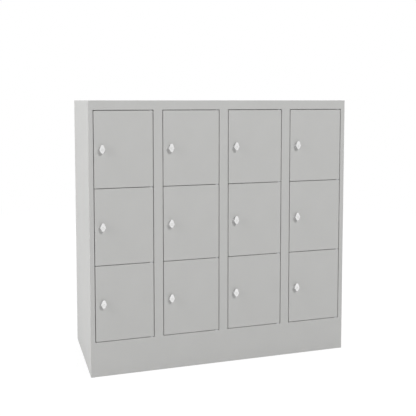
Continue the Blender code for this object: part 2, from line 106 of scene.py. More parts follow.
LEFT = SIDE_LOW.x
RIGHT = -LEFT
FRONT = LATCH.y
HEIGHT = ROOF_HIGH.z
STILE_WIDTH = SIDE_HIGH.x - SIDE_LOW.x
UPRIGHT_WIDTH = UPRIGHT_HIGH.x - UPRIGHT_LOW.x
RETURN_BACK = UPRIGHT_HIGH.y
WELD_FLANGE = BACK_HIGH.y - BACK_LOW.y
DOOR_GAP = DOOR_LOW.z - NEXT_DOOR_HIGH.z
DOOR_WIDTH = DOOR_HIGH.x - DOOR_LOW.x
DOOR_HEIGHT = DOOR_HIGH.z - DOOR_LOW.z
OPENING_TOP = ROOF_LOW.z
OPENING_BOTTOM = BOTTOM_DOOR_LOW.z - DOOR_GAP
PIVOT_INSET = DOOR_HIGH.x - HINGE.x
PIVOT_SETBACK = HINGE.y - FRONT
SHELF_LEVEL = DOOR_LOW.z - DOOR_GAP / 2
ROD_RADIUS = (ROD_HIGH.x - ROD_LOW.x) / 2
KNOB_REACH = FRONT - KNOB_LOW.y
KNOB_TOP = KNOB_HIGH.z - LATCH.z
KNOB_BOTTOM = LATCH.z - KNOB_LOW.z
KNOB_HALF_WIDTH = (KNOB_HIGH.x - KNOB_LOW.x) / 2
CAM_FRONT = FRONT - CAM_LOW.y
CAM_BACK = FRONT - CAM_HIGH.y

# The middle of each upright between two columns, and where the hinge rod of each column stands
UPRIGHTS = [sum(corner.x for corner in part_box(f"mullion_{column + 1}")) / 2 for column in range(COLUMNS - 1)]
HINGES = [PLACES[f"door_hinge_{cell_name(column, 0)}"].x for column in range(COLUMNS)]

# Clearances, steps and counts that no one needs to set
HAIRLINE = 0.00002
PRESS_CLEARANCE = 0.0001
RUNNING_CLEARANCE = 0.0003
SWING_CLEARANCE = 0.0010
FLANGE_RELIEF = 0.004
OVERRUN = 0.002
MERGE_DISTANCE = 0.00001
ROUND_SIDES = 48
ARC_STEPS = 14
BEND_STEPS = 6
DOOR_EDGE_STEPS = 5
NUT_SIDES = 6
DENT_SIDES = 16
SMOOTH_ANGLE = math.radians(32)
FLAT_FACE_WEIGHT = 100

# The bores of the rods, how far the flanges of roof and back reach, and how deep the front frame is cut
ROD_BORE = ROD_RADIUS + RUNNING_CLEARANCE
FLANGE_END = RIGHT - WELD_FLANGE - FLANGE_RELIEF
FRAME_CUT = (FRONT - OVERRUN, RETURN_BACK + OVERRUN)

# Small details, as shares of the sizes that carry them, and the turns at which a rivet's crown has its rings
ROD_TIP_SHARE = 1 / 3
THREAD_SHARE = 1 / 8
WASHER_EDGE_SHARE = 1 / 3
HEEL_SHARE = 1 / 5
FLARE_SHARE = 1 / 5
DISH_SHARES = (0.8, 0.5)
CORE_RING_SHARE = 5 / 6
KEY_SLOT_SHARE = 1 / 11
CAM_TIP_SHARE = 3 / 4
CAM_EDGE_SHARE = 1 / 8
RIVET_RADIUS_SHARE = 2
RIVET_COLLAR_SHARE = 1 / 3
RIVET_CROWN_SHARE = 0.86
RIVET_CROWN_TURNS = (0.4, 0.8, 1.2)

# The middle of a noise, where most of its values lie
NOISE_MIDDLE = (0.3, 0.7)

# The noises that a finish's colour, gloss and relief follow: size in metres, detail and how far each goes
PAINT_CLOUDS = (0.12, 3, 0.012)
PAINT_DETAIL = 2
PAINT_GLOSS = (0.9, 1.1)
PAINT_SPECULAR = 0.4
SATIN_TEXTURES = ((0.0006, 3, 0.02), (0.0006, 3, (0.8, 1.25)), (0.0006, 3, 0.000004))
ZINC_TEXTURES = ((0.004, 4, 0.08), (0.004, 4, (0.8, 1.2)), (0.0005, 2, 0.000006))

# The studio's round floor, how bright it shows near the cabinet, and each lamp's place and size
FLOOR_RADIUS = 12
FLOOR_ROUGHNESS = 0.9
NEAR_GLOW = 1.2
LAMPS = {
    "side_lamp": ((-3.6, -0.6, 2.3), 2.4),
    "front_lamp": ((1.4, -5.4, 4.2), 0.6),
    "back_lamp": ((0.6, 4.1, 2.2), 2.4),
    "right_lamp": ((3.9, 0.9, 2.0), 2.4),
}

# The photograph's camera, fitted to the straight edges and gap lines of the cabinet
CAMERA_PLACE = (-0.9628, -3.07835, 1.1823)
CAMERA_PITCH = math.radians(-4.098)
CAMERA_TURN = math.radians(-17.403)
CAMERA_LENS = 58.767
CAMERA_SENSOR = 36
CAMERA_SHIFT = -0.1429


def setting(kind, **limits):
    """Makes one kind of setting, each of which has a name, a description and a default."""
    return lambda name, description, default: kind(
        name=name, description=description, default=default, min=0, **limits
    )


length = setting(bpy.props.FloatProperty, precision=5, unit="LENGTH", subtype="DISTANCE")
share = setting(bpy.props.FloatProperty, max=1, subtype="FACTOR")
colour = setting(bpy.props.FloatVectorProperty, size=3, max=1, subtype="COLOR")
power = setting(bpy.props.FloatProperty, unit="POWER")


class CabinetSheetSettings(bpy.types.PropertyGroup):
    """Gauge and folds of the sheet-steel body."""

    gauge: length("Gauge", "Thickness of the body's sheet", 0.0008)
    bend: length("Bend radius", "Outer radius of every fold", 0.0016)
    lip: length("Lip", "Width of the inward lip behind stiles, rail and uprights", 0.008)
    sill_lip: length("Sill lip", "Depth of the lip behind the plinth's sill", 0.012)
    foot: length("Foot flange", "Width of the flange at the foot of the sides", 0.020)
    shelf_flange: length("Shelf flange", "Depth of the flanges at the sides and back of a shelf", 0.010)
    lug_width: length("Lug width", "Width of the hinge lugs in the gaps under the doors", 0.0105)
    lug_corner: length("Lug corner", "Corner radius of a hinge lug", 0.0015)
    lug_weld: length("Lug weld", "How far a hinge lug runs onto its shelf", 0.006)
    lug_room: length("Lug room", "Room between a hinge lug and the doors above and below it", 0.0002)
    weld_pitch: length("Weld pitch", "Distance between the spot welds of the back sheet", 0.090)
    weld_radius: length("Weld radius", "Radius of the dent that a spot weld leaves", 0.0035)
    weld_depth: length("Weld depth", "Depth of the dent that a spot weld leaves", 0.00045)


class CabinetDoorSettings(bpy.types.PropertyGroup):
    """The pan of a door."""

    gauge: length("Gauge", "Thickness of the door's sheet", 0.0010)
    depth: length("Depth", "Depth of the door's folded edges", 0.015)
    lip: length("Lip", "Width of the inward lip at the back of the door", 0.010)
    edge: length("Edge radius", "Outer radius of the door's edges", 0.0018)


class CabinetLatchSettings(bpy.types.PropertyGroup):
    """Turn knob, bush and cam of a latch."""

    rosette_radius: length("Rosette radius", "Radius of the ring round the knob's neck", 0.0105)
    rosette_height: length("Rosette height", "How far the ring stands on the door", 0.0012)
    bush_radius: length("Bush radius", "Outer radius of the threaded bush", 0.0080)
    nut_radius: length("Nut radius", "Radius over the corners of the nut behind the door", 0.0125)
    nut_back: length("Nut back", "Depth of the nut's back behind the door's face", 0.0040)
    washer: length("Washer", "Thickness of the washer under the nut", 0.0006)
    neck_radius: length("Neck radius", "Radius of the neck under the knob's head", 0.0080)
    spindle_radius: length("Spindle radius", "Radius of the spindle in its bush", 0.0047)
    drive: length("Drive", "Width of the square end that carries the cam", 0.0064)
    side_radius: length("Side radius", "Corner radius at the knob's left and right", 0.0034)
    tip_radius: length("Tip radius", "Corner radius at the knob's top and bottom", 0.0068)
    widest: length("Widest", "Height of the knob's widest place over its axis", 0.0010)
    head: length("Head", "Thickness of the knob's head", 0.0135)
    undercut: length("Undercut", "How much narrower the head is at its back, on every side", 0.0024)
    rim: length("Rim", "Radius of the rounded rim of the knob's head", 0.0026)
    dish: length("Dish", "Depth of the dished face inside the rim", 0.0007)
    core_radius: length("Core radius", "Radius of the lock core in the knob", 0.0062)
    keyhole: length("Keyhole", "Height of the key slot", 0.0066)


class CabinetFinishSettings(bpy.types.PropertyGroup):
    """Colours and surfaces."""

    paint: colour("Paint", "Light-grey powder coat", (0.56, 0.56, 0.55))
    paint_roughness: share("Paint roughness", "Roughness of the powder coat", 0.46)
    paint_grain: length("Paint grain", "Size of the powder coat's fine texture", 0.0011)
    paint_relief: length("Paint relief", "Height of the powder coat's fine texture", 0.000022)
    chrome: colour("Chrome", "Satin chrome of the knobs", (0.79, 0.79, 0.79))
    chrome_roughness: share("Chrome roughness", "Roughness of the knobs", 0.17)
    nickel: colour("Nickel", "Satin nickel of the lock cores", (0.75, 0.75, 0.74))
    nickel_roughness: share("Nickel roughness", "Roughness of the lock cores", 0.30)
    zinc: colour("Zinc", "Zinc plate of rods, nuts and cams", (0.63, 0.64, 0.66))
    zinc_roughness: share("Zinc roughness", "Roughness of the zinc plate", 0.38)


class CabinetStudioSettings(bpy.types.PropertyGroup):
    """Lamps, surroundings and floor."""

    ambient: share("Ambient", "Strength of the even light from all round", 0.26)
    side_lamp: power("Side lamp", "Broad soft lamp at the cabinet's left", 76)
    front_lamp: power("Front lamp", "Soft lamp in front, above on the right", 176)
    back_lamp: power("Back lamp", "Broad soft lamp behind and above", 72)
    right_lamp: power("Right lamp", "Broad soft lamp at the cabinet's right", 40)
    floor: colour("Floor", "Colour of the studio floor", (0.80, 0.80, 0.80))
    floor_glow: share("Floor glow", "How much of the floor near the cabinet shows as plain white", 0.70)
    floor_near: length("Floor near", "Distance from which the floor turns plain white", 1.6)
    floor_far: length("Floor far", "Distance from which the floor is all plain white", 4.5)


def settings(group):
    """What the user has set in one of the groups."""
    return getattr(bpy.context.scene, f"cabinet_{group}")


def remove(obj):
    """Removes an object together with its mesh or curve."""
    data = obj.data
    bpy.data.objects.remove(obj, do_unlink=True)
    if data.users == 0:
        bpy.data.batch_remove([data])


def new_object(name, data):
    """An object in the scene."""
    obj = bpy.data.objects.new(name, data)
    bpy.context.scene.collection.objects.link(obj)
    return obj


def helper(name, data):
    """A cutter, an addition or a shape in the making, which is removed once it is used."""
    obj = new_object(name, data)
    obj.hide_render = True
    obj.display_type = "WIRE"
    return obj


def modify(obj, kind, **options):
    """Adds a modifier with its options to an object."""
    modifier = obj.modifiers.new(kind.lower(), kind)
    for name, value in options.items():
        setattr(modifier, name, value)


def mesh_of(name, bm):
    """A mesh from a bmesh, which is freed."""
    mesh = bpy.data.meshes.new(name)
    bm.to_mesh(mesh)
    bm.free()
    return mesh


def baked(obj):
    """The mesh of an object with its modifiers; the object and its cutters are removed."""
    bpy.context.view_layer.update()
    graph = bpy.context.evaluated_depsgraph_get()
    mesh = bpy.data.meshes.new_from_object(obj.evaluated_get(graph))
    mesh.name = obj.name
    cutters = [modifier.object for modifier in obj.modifiers if modifier.type == "BOOLEAN"]
    for cutter in cutters:
        remove(cutter)
    remove(obj)
    return mesh


def combine(obj, operation, meshes):
    """Adds meshes to an object, takes them from it, or leaves what it shares with them."""
    for mesh in meshes:
        modify(obj, "BOOLEAN", operation=operation, object=helper(mesh.name, mesh))


def cut(obj, cutters):
    """The mesh of an object without what the cutters take."""
    combine(obj, "DIFFERENCE", cutters)
    return baked(obj)


def cuboid(low, high):
    """A box between two corners, as a bmesh."""
    bm = bmesh.new()
    bmesh.ops.create_cube(bm, size=1)
    low, high = Vector(low), Vector(high)
    bmesh.ops.scale(bm, vec=high - low, verts=bm.verts)
    bmesh.ops.translate(bm, vec=(low + high) / 2, verts=bm.verts)
    return bm


def box(low, high):
    """A box between two corners, as a mesh."""
    return mesh_of("box", cuboid(low, high))


def cylinder(radius, x, y, start, end, sides=ROUND_SIDES):
    """An upright cylinder between two heights."""
    bm = bmesh.new()
    round_ends = {"radius1": radius, "radius2": radius, "cap_ends": True}
    bmesh.ops.create_cone(bm, segments=sides, depth=end - start, **round_ends)
    bmesh.ops.translate(bm, vec=(x, y, (start + end) / 2), verts=bm.verts)
    return mesh_of("cylinder", bm)


def turned(name, profile, sides=ROUND_SIDES):
    """A solid turned round Z. The profile lists radii and heights down its outer side, from axis to axis."""
    mesh = bpy.data.meshes.new(name)
    edges = [(step, step + 1) for step in range(len(profile) - 1)]
    mesh.from_pydata([(radius, 0, height) for radius, height in profile], edges, [])
    obj = helper(name, mesh)
    merging = {"use_merge_vertices": True, "merge_threshold": MERGE_DISTANCE}
    modify(obj, "SCREW", steps=sides, render_steps=sides, **merging)
    bm = bmesh.new()
    bm.from_mesh(baked(obj))
    bmesh.ops.remove_doubles(bm, verts=bm.verts, dist=MERGE_DISTANCE)
    return mesh_of(name, bm)


def round_hull(circles):
    """The outline round circles, each an x, a y and a radius, listed counterclockwise."""
    turns = []
    for (x1, y1, radius1), (x2, y2, radius2) in zip(circles, circles[1:] + circles[:1]):
        travel = math.atan2(y2 - y1, x2 - x1)
        turns.append(travel - math.acos((radius1 - radius2) / math.hypot(x2 - x1, y2 - y1)))
    points = []
    for index, (x, y, radius) in enumerate(circles):
        swept = (turns[index] - turns[index - 1]) % (2 * math.pi)
        for step in range(ARC_STEPS + 1):
            turn = turns[index - 1] + swept * step / ARC_STEPS
            points.append((x + radius * math.cos(turn), y + radius * math.sin(turn)))
    return points


def arc(x, y, radius, start, end, steps=BEND_STEPS):
    """Points on a quarter or other stretch of a circle, its angles in degrees."""
    turns = [math.radians(start + (end - start) * step / steps) for step in range(steps + 1)]
    return [(x + radius * math.cos(turn), y + radius * math.sin(turn)) for turn in turns]


def stacked(name, rings):
    """A solid skinned over rings with as many points each, from its lowest ring to its highest."""
    bm = bmesh.new()
    levels = [[bm.verts.new(point) for point in ring] for ring in rings]
    for lower, upper in zip(levels, levels[1:]):
        for index in range(len(lower)):
            bm.faces.new((lower[index - 1], lower[index], upper[index], upper[index - 1]))
    bm.faces.new(reversed(levels[0]))
    bm.faces.new(levels[-1])
    bmesh.ops.recalc_face_normals(bm, faces=bm.faces)
    return mesh_of(name, bm)


def plate(name, outline, low, high):
    """A flat plate between two heights."""
    return stacked(name, [[(x, y, height) for x, y in outline] for height in (low, high)])


def faced_front(mesh):
    """Turns a mesh so that what pointed up points to the front, and what lay behind stands above."""
    mesh.transform(Matrix.Rotation(math.pi / 2, 4, "X"))
    return mesh


def rounded(corners, radius):
    """An open outline whose inner corners, all right angles, are made into bends."""
    points = [Vector(corners[0])]
    for before, corner, after in zip(corners, corners[1:], corners[2:]):
        corner = Vector(corner)
        back = (Vector(before) - corner).normalized()
        ahead = (Vector(after) - corner).normalized()
        centre = corner + (back + ahead) * radius
        for step in range(BEND_STEPS + 1):
            turn = math.pi / 2 * step / BEND_STEPS
            points.append(centre - (ahead * math.cos(turn) + back * math.sin(turn)) * radius)
    points.append(Vector(corners[-1]))
    return points


def add_gauge(obj, gauge):
    """Gives a surface its thickness, on the inside."""
    modify(obj, "SOLIDIFY", thickness=gauge, offset=-1, use_even_offset=True)


def folded(name, corners, axis, start, end, outside):
    """A folded sheet as a helper: its outline, in the plane across X or Z, carried from start to end."""
    sheet = settings("sheet")
    bm = bmesh.new()
    rows = []
    for level in (start, end):
        outline = rounded(corners, sheet.bend)
        spots = [(level, *spot) if axis == "X" else (*spot, level) for spot in outline]
        rows.append([bm.verts.new(spot) for spot in spots])
    near, far = rows
    for index in range(1, len(near)):
        bm.faces.new((near[index - 1], near[index], far[index], far[index - 1]))
    bm.normal_update()
    widest = max(bm.faces, key=lambda face: face.calc_area())
    if widest.normal.dot(Vector(outside)) < 0:
        bmesh.ops.reverse_faces(bm, faces=bm.faces)
    obj = helper(name, mesh_of(name, bm))
    add_gauge(obj, sheet.gauge)
    return obj


def mirrored(mesh, name):
    """The same mesh on the other side of the middle plane."""
    bm = bmesh.new()
    bm.from_mesh(mesh)
    bmesh.ops.scale(bm, vec=(-1, 1, 1), verts=bm.verts)
    bmesh.ops.reverse_faces(bm, faces=bm.faces)
    return mesh_of(name, bm)


def under_door(cell):
    """The middle of the gap under a compartment's door."""
    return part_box(f"door_{cell}")[0].z - DOOR_GAP / 2


def hinge_bores(start, end):
    """Cutters for the bores of all hinge rods, between two heights."""
    return [cylinder(ROD_BORE, x, HINGE.y, start, end) for x in HINGES]


def lug_mesh(back, low, high):
    """A pad round a hinge rod's axis, level in front with the doors' faces, between two heights."""
    sheet = settings("sheet")
    side = sheet.lug_width / 2 - sheet.lug_corner
    front = FRONT + sheet.lug_corner
    corners = [(-side, front), (side, front), (side, back), (-side, back)]
    outline = round_hull([(*corner, sheet.lug_corner) for corner in corners])
    obj = helper("hinge_lug", plate("hinge_lug", outline, low, high))
    return cut(obj, [cylinder(ROD_BORE, 0, HINGE.y, low - OVERRUN, high + OVERRUN)])


def end_cuts(reach, low_y, high_y, low_z, high_z):
    """Cutters that take both ends off a strip, past a distance from the middle plane."""
    far = RIGHT + OVERRUN
    return [
        box((reach, low_y, low_z), (far, high_y, high_z)),
        box((-far, low_y, low_z), (-reach, high_y, high_z)),
    ]


def upright_notches(low_z, high_z):
    """Cutters that make room for the ends of the uprights, so that their faces run on without a groove."""
    front, back = FRAME_CUT
    half = UPRIGHT_WIDTH / 2
    return [box((x - half, front, low_z), (x + half, back, high_z)) for x in UPRIGHTS]


def side_mesh():
    """The left side, folded round into the stile, with flanges for the back, the roof and the floor."""
    sheet = settings("sheet")
    side_back = SIDE_HIGH.y
    top = HEIGHT - sheet.gauge - HAIRLINE
    stile = LEFT + STILE_WIDTH
    corners = [(LEFT + WELD_FLANGE, side_back), (LEFT, side_back), (LEFT, FRONT)]
    corners += [(stile, FRONT), (stile, RETURN_BACK), (stile - sheet.lip, RETURN_BACK)]
    obj = folded("side_panel", corners, "Z", 0, top, (-1, 0, 0))
    front = RETURN_BACK + FLANGE_RELIEF
    back = side_back - WELD_FLANGE - FLANGE_RELIEF
    root = LEFT + sheet.gauge / 2
    foot = box((root, front, 0), (LEFT + sheet.foot, back, sheet.gauge))
    head = box((root, front, top - sheet.gauge), (LEFT + WELD_FLANGE, back, top))
    combine(obj, "UNION", [foot, head])
    low_y, high_y = FRAME_CUT
    inside = sheet.bend + OVERRUN
    for low_z, high_z in ((-OVERRUN, OPENING_BOTTOM), (OPENING_TOP, top + OVERRUN)):
        far = (stile + OVERRUN, high_y, high_z)
        edge_cut = box((stile - sheet.bend, low_y, low_z), far)
        return_cut = box((LEFT + inside, FRONT + inside, low_z), far)
        combine(obj, "DIFFERENCE", [edge_cut, return_cut])
    return baked(obj)


def roof_mesh():
    """The roof, folded down in front into the rail over the doors and at the back into a flange."""
    sheet = settings("sheet")
    side_back = ROOF_HIGH.y
    corners = [(side_back, HEIGHT - WELD_FLANGE), (side_back, HEIGHT), (FRONT, HEIGHT)]
    corners += [(FRONT, OPENING_TOP), (RETURN_BACK, OPENING_TOP), (RETURN_BACK, OPENING_TOP + sheet.lip)]
    obj = folded("top_panel", corners, "X", LEFT, RIGHT, (0, 0, 1))
    rail_end = RIGHT - STILE_WIDTH + sheet.bend - HAIRLINE
    low = OPENING_TOP - OVERRUN
    under = HEIGHT - sheet.gauge - HAIRLINE
    cuts = end_cuts(rail_end, *FRAME_CUT, low, under)
    cuts += end_cuts(FLANGE_END, side_back - WELD_FLANGE, BACK_HIGH.y, low, under)
    cuts += upright_notches(low, OPENING_TOP + sheet.bend) + hinge_bores(low, OPENING_TOP + OVERRUN)
    return cut(obj, cuts)


def plinth_mesh():
    """The kick plate between the stiles, with a bore for each hinge rod in its sill."""
    sheet = settings("sheet")
    corners = [(RETURN_BACK, 0), (FRONT, 0), (FRONT, OPENING_BOTTOM)]
    corners += [(RETURN_BACK, OPENING_BOTTOM), (RETURN_BACK, OPENING_BOTTOM - sheet.sill_lip)]
    end = RIGHT - STILE_WIDTH + sheet.bend - HAIRLINE
    obj = folded("plinth_front", corners, "X", -end, end, (0, -1, 0))
    high = OPENING_BOTTOM + OVERRUN
    cuts = upright_notches(OPENING_BOTTOM - sheet.bend, high) + hinge_bores(OPENING_BOTTOM - OVERRUN, high)
    return cut(obj, cuts)


def even_places(start, end, pitch):
    """Places from start to end, about a pitch apart."""
    steps = max(1, round((end - start) / pitch))
    return [start + (end - start) * step / steps for step in range(steps + 1)]


def back_welds():
    """Where the back sheet is welded to what lies in front of it, as places across and up."""
    sheet = settings("sheet")
    side = RIGHT - WELD_FLANGE / 2
    wall = (WALL_LOW.x + WALL_HIGH.x) / 2 - UPRIGHTS[0]
    seams = [-side, *[centre + wall for centre in UPRIGHTS], side]
    top = HEIGHT - WELD_FLANGE / 2
    floors = [under_door(cell_name(0, row)) for row in range(ROWS - 1)] + [FLOOR_HIGH.z]
    levels = [top] + [floor - sheet.shelf_flange / 2 for floor in floors]
    heights = even_places(sheet.weld_pitch / 2, top - sheet.weld_pitch, sheet.weld_pitch)
    spots = [(x, z) for x in seams for z in heights]
    for left, right in zip(seams, seams[1:]):
        across = even_places(left, right, sheet.weld_pitch)[1:-1]
        spots += [(x, z) for x in across for z in levels]
    return spots


def weld_dents(spots):
    """One cutter for the shallow round dents at these places of the back sheet."""
    sheet = settings("sheet")
    radius, depth = sheet.weld_radius, sheet.weld_depth
    profile = [(0, depth), (radius + depth, depth), (radius - depth, -depth), (0, -depth)]
    dent = turned("dent", profile, DENT_SIDES)
    dent.transform(Matrix.Rotation(-math.pi / 2, 4, "X"))
    bm = bmesh.new()
    for x, z in spots:
        place = Matrix.Translation((x, BACK_HIGH.y, z))
        dent.transform(place)
        bm.from_mesh(dent)
        dent.transform(place.inverted())
    bpy.data.meshes.remove(dent)
    return mesh_of("dents", bm)


def back_mesh():
    """The back sheet, folded forward at the floor between the flanges of the sides, with its spot welds."""
    sheet = settings("sheet")
    corners = [(BACK_LOW.y, 0), (BACK_HIGH.y, 0), (BACK_HIGH.y, HEIGHT)]
    obj = folded("back_panel", corners, "X", LEFT, RIGHT, (0, 1, 0))
    cuts = end_cuts(FLANGE_END, BACK_LOW.y - OVERRUN, BACK_HIGH.y + OVERRUN, -OVERRUN, sheet.bend)
    return cut(obj, [*cuts, weld_dents(back_welds())])


def tray(name, low, high, front_flange, flange):
    """A sheet with all four edges folded down, between two corners; its top is at the high one."""
    sheet = settings("sheet")
    corners = [(high.y, high.z - flange), (high.y, high.z), (low.y, high.z), (low.y, high.z - front_flange)]
    obj = folded(name, corners, "X", low.x, high.x, (0, 0, 1))
    start = RETURN_BACK + FLANGE_RELIEF + OVERRUN
    end = high.y - FLANGE_RELIEF
    bottom, top = high.z - flange, high.z - sheet.gauge / 2
    for low_x, high_x in ((low.x, low.x + sheet.gauge), (high.x - sheet.gauge, high.x)):
        side_flange = box((low_x, start, bottom), (high_x, end, top))
        combine(obj, "UNION", [side_flange])
    return obj


def upright_mesh():
    """An upright of the front frame: a lipped channel, open to the back, round its own centre line."""
    sheet = settings("sheet")
    half = UPRIGHT_WIDTH / 2
    depth = RETURN_BACK - FRONT
    corners = [(-half + sheet.lip, depth), (-half, depth), (-half, 0)]
    corners += [(half, 0), (half, depth), (half - sheet.lip, depth)]
    low = OPENING_BOTTOM - sheet.bend + HAIRLINE
    high = OPENING_TOP + sheet.bend - HAIRLINE
    return baked(folded("upright", corners, "Z", low, high, (0, -1, 0)))


def wall_mesh():
    """A wall between columns, round its own plane, with a flange behind the upright and one at the back."""
    edge = WALL_LOW.x - UPRIGHTS[0]
    outer = WALL_HIGH.x - UPRIGHTS[0]
    corners = [(edge, WALL_LOW.y), (outer, WALL_LOW.y), (outer, WALL_HIGH.y), (edge, WALL_HIGH.y)]
    return baked(folded("wall", corners, "Z", WALL_LOW.z, WALL_HIGH.z, (1, 0, 0)))


def shelf_front():
    """The front edge of the shelves, just clear of the doors' back corners as they swing."""
    door = settings("door")
    return HINGE.y + math.hypot(PIVOT_INSET, door.depth - PIVOT_SETBACK) + SWING_CLEARANCE


def shelf_mesh(column):
    """A compartment's floor, level with the gap between two doors."""
    sheet = settings("sheet")
    node_low, node_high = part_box(f"shelf_c{column + 1}_r1")
    front = shelf_front()
    top = sheet.gauge / 2
    low = Vector((node_low.x, front, top))
    high = Vector((node_high.x, node_high.y, top))
    front_flange = SHELF_LEVEL + top - SHELF_LOW.z
    obj = tray("shelf", low, high, front_flange, sheet.shelf_flange)
    door_right = HINGES[column] + PIVOT_INSET
    nose_left = door_right - DOOR_WIDTH - DOOR_GAP + RUNNING_CLEARANCE
    nose_right = door_right + DOOR_GAP - RUNNING_CLEARANCE
    shoulder = RETURN_BACK + sheet.gauge + 2 * RUNNING_CLEARANCE
    bottom = top - front_flange - OVERRUN
    for start, end in ((low.x - OVERRUN, nose_left), (nose_right, high.x + OVERRUN)):
        corner = box((start, front - OVERRUN, bottom), (end, shoulder, top + OVERRUN))
        combine(obj, "DIFFERENCE", [corner])
    return baked(obj)


def rod_mesh():
    """A hinge rod round its own axis, with rounded ends."""
    tip = ROD_RADIUS * ROD_TIP_SHARE
    flat = ROD_RADIUS - tip
    profile = [(0, ROD_HIGH.z)]
    profile += arc(flat, ROD_HIGH.z - tip, tip, 90, 0)
    profile += arc(flat, ROD_LOW.z + tip, tip, 0, -90)
    profile += [(0, ROD_LOW.z)]
    return turned("hinge_rod", profile)


def door_mesh():
    """The pan of a door round its hinge axis: it stands on Z = 0 and shuts to the left."""
    door = settings("door")
    latch = settings("latch")
    low = Vector((PIVOT_INSET - DOOR_WIDTH, -PIVOT_SETBACK, 0))
    high = Vector((PIVOT_INSET, door.depth - PIVOT_SETBACK, DOOR_HEIGHT))
    bm = cuboid(low, high)
    back = max(bm.faces, key=lambda face: face.calc_center_median().y)
    bmesh.ops.inset_region(bm, faces=[back], thickness=door.lip)
    bmesh.ops.delete(bm, geom=[back], context="FACES")
    obj = helper("door_pan", mesh_of("door_pan", bm))
    modify(obj, "BEVEL", width=door.edge, segments=DOOR_EDGE_STEPS, limit_method="ANGLE")
    add_gauge(obj, door.gauge)
    hinge_holes = cylinder(ROD_BORE, 0, 0, -OVERRUN, DOOR_HEIGHT + OVERRUN)
    latch_hole = faced_front(cylinder(latch.bush_radius + HAIRLINE, 0, 0, -OVERRUN, OVERRUN))
    latch_hole.transform(Matrix.Translation((LATCH.x - HINGE.x, LATCH.y - HINGE.y, DOOR_HEIGHT / 2)))
    return cut(obj, [hinge_holes, latch_hole])


def bush_mesh():
    """The latch bush in the door: its rosette outside, its thread inside, and the bore for the spindle."""
    latch = settings("latch")
    door = settings("door")
    back = -CAM_FRONT - 2 * RUNNING_CLEARANCE
    edge = latch.rosette_height / 2
    bore = latch.spindle_radius + RUNNING_CLEARANCE
    pitch = latch.bush_radius * THREAD_SHARE
    groove = latch.bush_radius - pitch / 4
    profile = [(bore, latch.rosette_height)]
    profile += arc(latch.rosette_radius - edge, edge, edge, 90, 0)
    profile += [(latch.rosette_radius, HAIRLINE), (latch.bush_radius, HAIRLINE)]
    profile += [(latch.bush_radius, -door.gauge)]
    for turn in range(int((back - door.gauge) / pitch)):
        height = -door.gauge - turn * pitch
        profile += [(latch.bush_radius, height - pitch / 4), (groove, height - pitch * 3 / 4)]
    profile += [(groove, -back), (bore, -back), (bore, latch.rosette_height)]
    return faced_front(turned("latch_bush", profile))


def nut_mesh():
    """The nut and washer that hold the bush, behind the door's sheet."""
    latch = settings("latch")
    door = settings("door")
    bore = latch.bush_radius + HAIRLINE
    top = -door.gauge - HAIRLINE
    seat = top - latch.washer
    bottom = -latch.nut_back
    obj = helper("latch_nut", cylinder(latch.nut_radius, 0, 0, bottom, seat + HAIRLINE, NUT_SIDES))
    flat = latch.nut_radius * math.cos(math.pi / NUT_SIDES) - HAIRLINE
    far = latch.nut_radius + OVERRUN
    chamfer = [(0, seat + OVERRUN), (far, seat + OVERRUN), (far, bottom + (far - flat) / 2)]
    chamfer += [(flat, bottom), (flat, bottom - OVERRUN), (0, bottom - OVERRUN)]
    combine(obj, "INTERSECT", [turned("chamfer", chamfer)])
    washer_edge = latch.washer * WASHER_EDGE_SHARE
    washer_radius = latch.nut_radius + latch.washer
    washer = [(0, top), (washer_radius, top)]
    washer += arc(washer_radius - washer_edge, seat + washer_edge, washer_edge, 0, -90)
    washer += [(0, seat)]
    combine(obj, "UNION", [turned("washer", washer)])
    return faced_front(cut(obj, [cylinder(bore, 0, 0, bottom - OVERRUN, top + OVERRUN)]))


def head_outline(inset):
    """The knob's rounded diamond, seen from the front, narrowed by an inset all round."""
    latch = settings("latch")
    side_x = KNOB_HALF_WIDTH - latch.side_radius
    tip, side = latch.tip_radius - inset, latch.side_radius - inset
    circles = [(0, latch.tip_radius - KNOB_BOTTOM, tip), (side_x, latch.widest, side)]
    circles += [(0, KNOB_TOP - latch.tip_radius, tip), (-side_x, latch.widest, side)]
    return round_hull(circles)


def knob_mesh():
    """A knob with its dished head, flared neck, spindle and square drive, out from the door's face."""
    latch = settings("latch")
    reach = KNOB_REACH
    back = reach - latch.head
    heel = latch.rim * HEEL_SHARE
    rings = [(inset, height) for inset, height in section_of_head(reach, back, latch.rim, heel)]
    levels = [[(x, y, height) for x, y in head_outline(inset)] for inset, height in rings]
    floor = reach - latch.dish
    inner = head_outline(rings[-1][0])
    for shrink in DISH_SHARES:
        levels.append([(x * shrink, y * shrink, floor) for x, y in inner])
    obj = helper("latch_knob", stacked("head", levels))
    shoulder = CAM_FRONT + RUNNING_CLEARANCE
    seat = latch.rosette_height + RUNNING_CLEARANCE
    flare = latch.neck_radius * FLARE_SHARE
    middle = (reach + back) / 2
    shank = [(0, middle), (latch.neck_radius + flare, middle), (latch.neck_radius + flare, back)]
    shank += arc(latch.neck_radius + flare, back - flare, flare, 90, 180)
    shank += [(latch.neck_radius, seat + heel / 2), (latch.neck_radius - heel / 2, seat)]
    shank += [(latch.spindle_radius, seat), (latch.spindle_radius, shoulder), (0, shoulder)]
    half = latch.drive / 2
    drive = box((-half, -half, CAM_BACK - RUNNING_CLEARANCE), (half, half, shoulder + half))
    combine(obj, "UNION", [turned("shank", shank), drive])
    pocket = cylinder(latch.core_radius + PRESS_CLEARANCE, 0, 0, floor - latch.rim, reach + OVERRUN)
    return faced_front(cut(obj, [pocket]))


